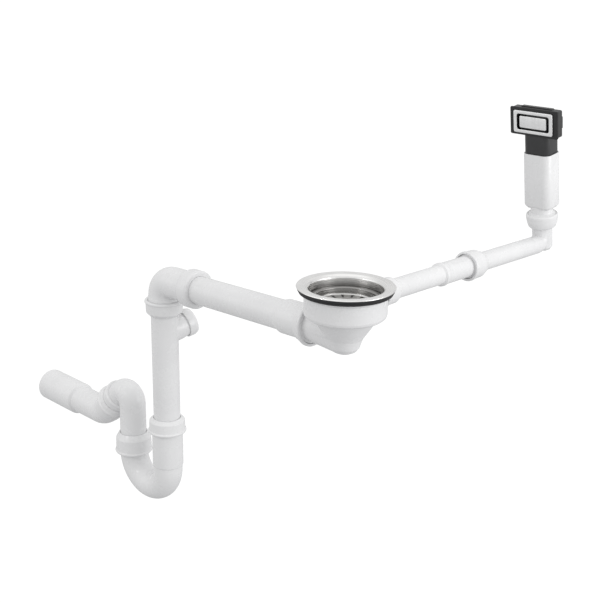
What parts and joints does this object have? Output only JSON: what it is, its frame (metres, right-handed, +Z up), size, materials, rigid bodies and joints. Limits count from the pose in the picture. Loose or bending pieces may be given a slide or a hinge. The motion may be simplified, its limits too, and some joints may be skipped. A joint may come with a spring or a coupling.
{
  "type": "kitchen sink waste kit with p trap",
  "caption": "Kitchen sink waste kit: basket strainer, space-saving drain line, U-bend P trap with swivel outlet, and a telescopic overflow arm with a rectangular head.",
  "frame": {"origin": "centre of the sink's waste hole, between the two seals that grip the sink's sheet", "axes": "+Z up along the waste's axis; +Y along the drain line towards the trap; +X along the overflow arm"},
  "size_m": [0.4789, 0.698, 0.5877],
  "materials": {
    "white_plastic": "satin gloss",
    "steel": "satin",
    "brass": "turned",
    "rubber": "matt",
    "black_plastic": "satin"
  },
  "bodies": {
    "waste": {"sink_flange": "steel", "upper_seal": "rubber", "lower_seal": "rubber", "waste_body": "white_plastic", "threaded_insert": "brass"},
    "clamp_screw": {"clamp_screw": "steel"},
    "basket": {"strainer_basket": "steel", "basket_seal": "rubber", "basket_stem": "steel", "basket_knob": "steel"},
    "outlet_nut": {"outlet_nut": "white_plastic"},
    "drain": {"drain_pipe": "white_plastic", "outlet_washer": "rubber"},
    "rear_elbow": {"rear_elbow": "white_plastic", "elbow_mouth_seal": "rubber"},
    "elbow_nut": {"elbow_nut": "white_plastic"},
    "vertical_pipe": {"vertical_pipe": "white_plastic", "elbow_washer": "rubber", "branch_washer": "rubber", "branch_blank": "white_plastic"},
    "branch_nut": {"branch_nut": "white_plastic"},
    "trap_inlet_washer": {"trap_inlet_washer": "rubber"},
    "u_bend": {"u_bend": "white_plastic"},
    "trap_inlet_nut": {"trap_inlet_nut": "white_plastic"},
    "trap_outlet_nut": {"trap_outlet_nut": "white_plastic"},
    "trap_arm": {"trap_arm": "white_plastic", "trap_outlet_washer": "rubber"},
    "outlet_adaptor": {"outlet_adaptor": "white_plastic", "arm_washer": "rubber"},
    "arm_nut": {"arm_nut": "white_plastic"},
    "overflow_spigot_nut": {"overflow_spigot_nut": "white_plastic"},
    "overflow_tube": {"overflow_tube": "white_plastic", "overflow_spigot_washer": "rubber", "slip_washer": "rubber"},
    "slip_nut": {"slip_nut": "white_plastic"},
    "overflow_elbow": {"overflow_elbow": "white_plastic"},
    "riser": {"riser_box": "white_plastic", "riser_washer": "rubber"},
    "riser_nut": {"riser_nut": "white_plastic"},
    "overflow_head": {"overflow_head": "black_plastic", "head_gasket": "rubber", "face_ring": "steel", "face_plate": "steel"}
  },
  "joints": [
    {"name": "clamp_screw_turn", "type": "hinge", "parent": "waste", "child": "clamp_screw", "pos_m": [0, 0, -0.03], "axis": [0, 0, 1], "continuous": true},
    {"name": "basket_lift", "type": "slide", "parent": "waste", "child": "basket", "axis": [0, 0, 1], "range_m": [0, 0.06]},
    {"name": "outlet_nut_turn", "type": "hinge", "parent": "waste", "child": "outlet_nut", "pos_m": [0, 0, -0.0533], "axis": [0, 0.9994, -0.0356], "continuous": true},
    {"name": "drain_swivel", "type": "hinge", "parent": "waste", "child": "drain", "pos_m": [0, 0, -0.0533], "axis": [0, 0.9994, -0.0356], "range_deg": [-90, 90]},
    {"name": "drain_reach", "type": "slide", "parent": "drain", "child": "rear_elbow", "axis": [0, 0.9994, -0.0356], "range_m": [0, 0.025]},
    {"name": "elbow_nut_turn", "type": "hinge", "parent": "rear_elbow", "child": "elbow_nut", "pos_m": [0, 0.338, -0.1], "axis": [0, 0, 1], "continuous": true},
    {"name": "vertical_swivel", "type": "hinge", "parent": "rear_elbow", "child": "vertical_pipe", "pos_m": [0, 0.338, -0.1], "axis": [0, 0, 1], "continuous": true},
    {"name": "branch_nut_turn", "type": "hinge", "parent": "vertical_pipe", "child": "branch_nut", "pos_m": [0, 0.338, -0.1425], "axis": [0.9649, -0.1356, 0.225], "continuous": true},
    {"name": "trap_height", "type": "slide", "parent": "vertical_pipe", "child": "trap_inlet_washer", "axis": [0, 0, 1], "range_m": [-0.025, 0.015]},
    {"name": "trap_swivel", "type": "hinge", "parent": "trap_inlet_washer", "child": "u_bend", "pos_m": [0, 0.338, -0.1], "axis": [0, 0, 1], "continuous": true},
    {"name": "trap_inlet_nut_turn", "type": "hinge", "parent": "u_bend", "child": "trap_inlet_nut", "pos_m": [0, 0.338, -0.1], "axis": [0, 0, 1], "continuous": true},
    {"name": "trap_outlet_nut_turn", "type": "hinge", "parent": "u_bend", "child": "trap_outlet_nut", "pos_m": [0, 0.42, -0.33], "axis": [0, 0, 1], "continuous": true},
    {"name": "trap_arm_swivel", "type": "hinge", "parent": "u_bend", "child": "trap_arm", "pos_m": [0, 0.42, -0.33], "axis": [0, 0, 1], "range_deg": [-110, 110]},
    {"name": "outlet_swivel", "type": "hinge", "parent": "trap_arm", "child": "outlet_adaptor", "pos_m": [0, 0.44731, -0.26829], "axis": [0, 0.7071, -0.7071], "continuous": true},
    {"name": "arm_nut_turn", "type": "hinge", "parent": "outlet_adaptor", "child": "arm_nut", "pos_m": [0, 0.44731, -0.26829], "axis": [0, 0.7071, -0.7071], "continuous": true},
    {"name": "overflow_spigot_nut_turn", "type": "hinge", "parent": "waste", "child": "overflow_spigot_nut", "pos_m": [0.1, 0, -0.0176], "axis": [1, 0, 0], "continuous": true},
    {"name": "overflow_swivel", "type": "hinge", "parent": "waste", "child": "overflow_tube", "pos_m": [0.1, 0, -0.0176], "axis": [1, 0, 0], "range_deg": [-90, 90]},
    {"name": "slip_nut_turn", "type": "hinge", "parent": "overflow_tube", "child": "slip_nut", "pos_m": [0.1, 0, -0.0176], "axis": [1, 0, 0], "continuous": true},
    {"name": "overflow_reach", "type": "slide", "parent": "overflow_tube", "child": "overflow_elbow", "axis": [1, 0, 0], "range_m": [-0.015, 0.015]},
    {"name": "riser_swivel", "type": "hinge", "parent": "overflow_elbow", "child": "riser", "pos_m": [0.406, 0, -0.0176], "axis": [-0.165, 0, 0.9863], "continuous": true},
    {"name": "riser_nut_turn", "type": "hinge", "parent": "riser", "child": "riser_nut", "pos_m": [0.406, 0, -0.0176], "axis": [-0.165, 0, 0.9863], "continuous": true},
    {"name": "head_height", "type": "slide", "parent": "riser", "child": "overflow_head", "axis": [-0.165, 0, 0.9863], "range_m": [-0.024, 0.02]}
  ]
}
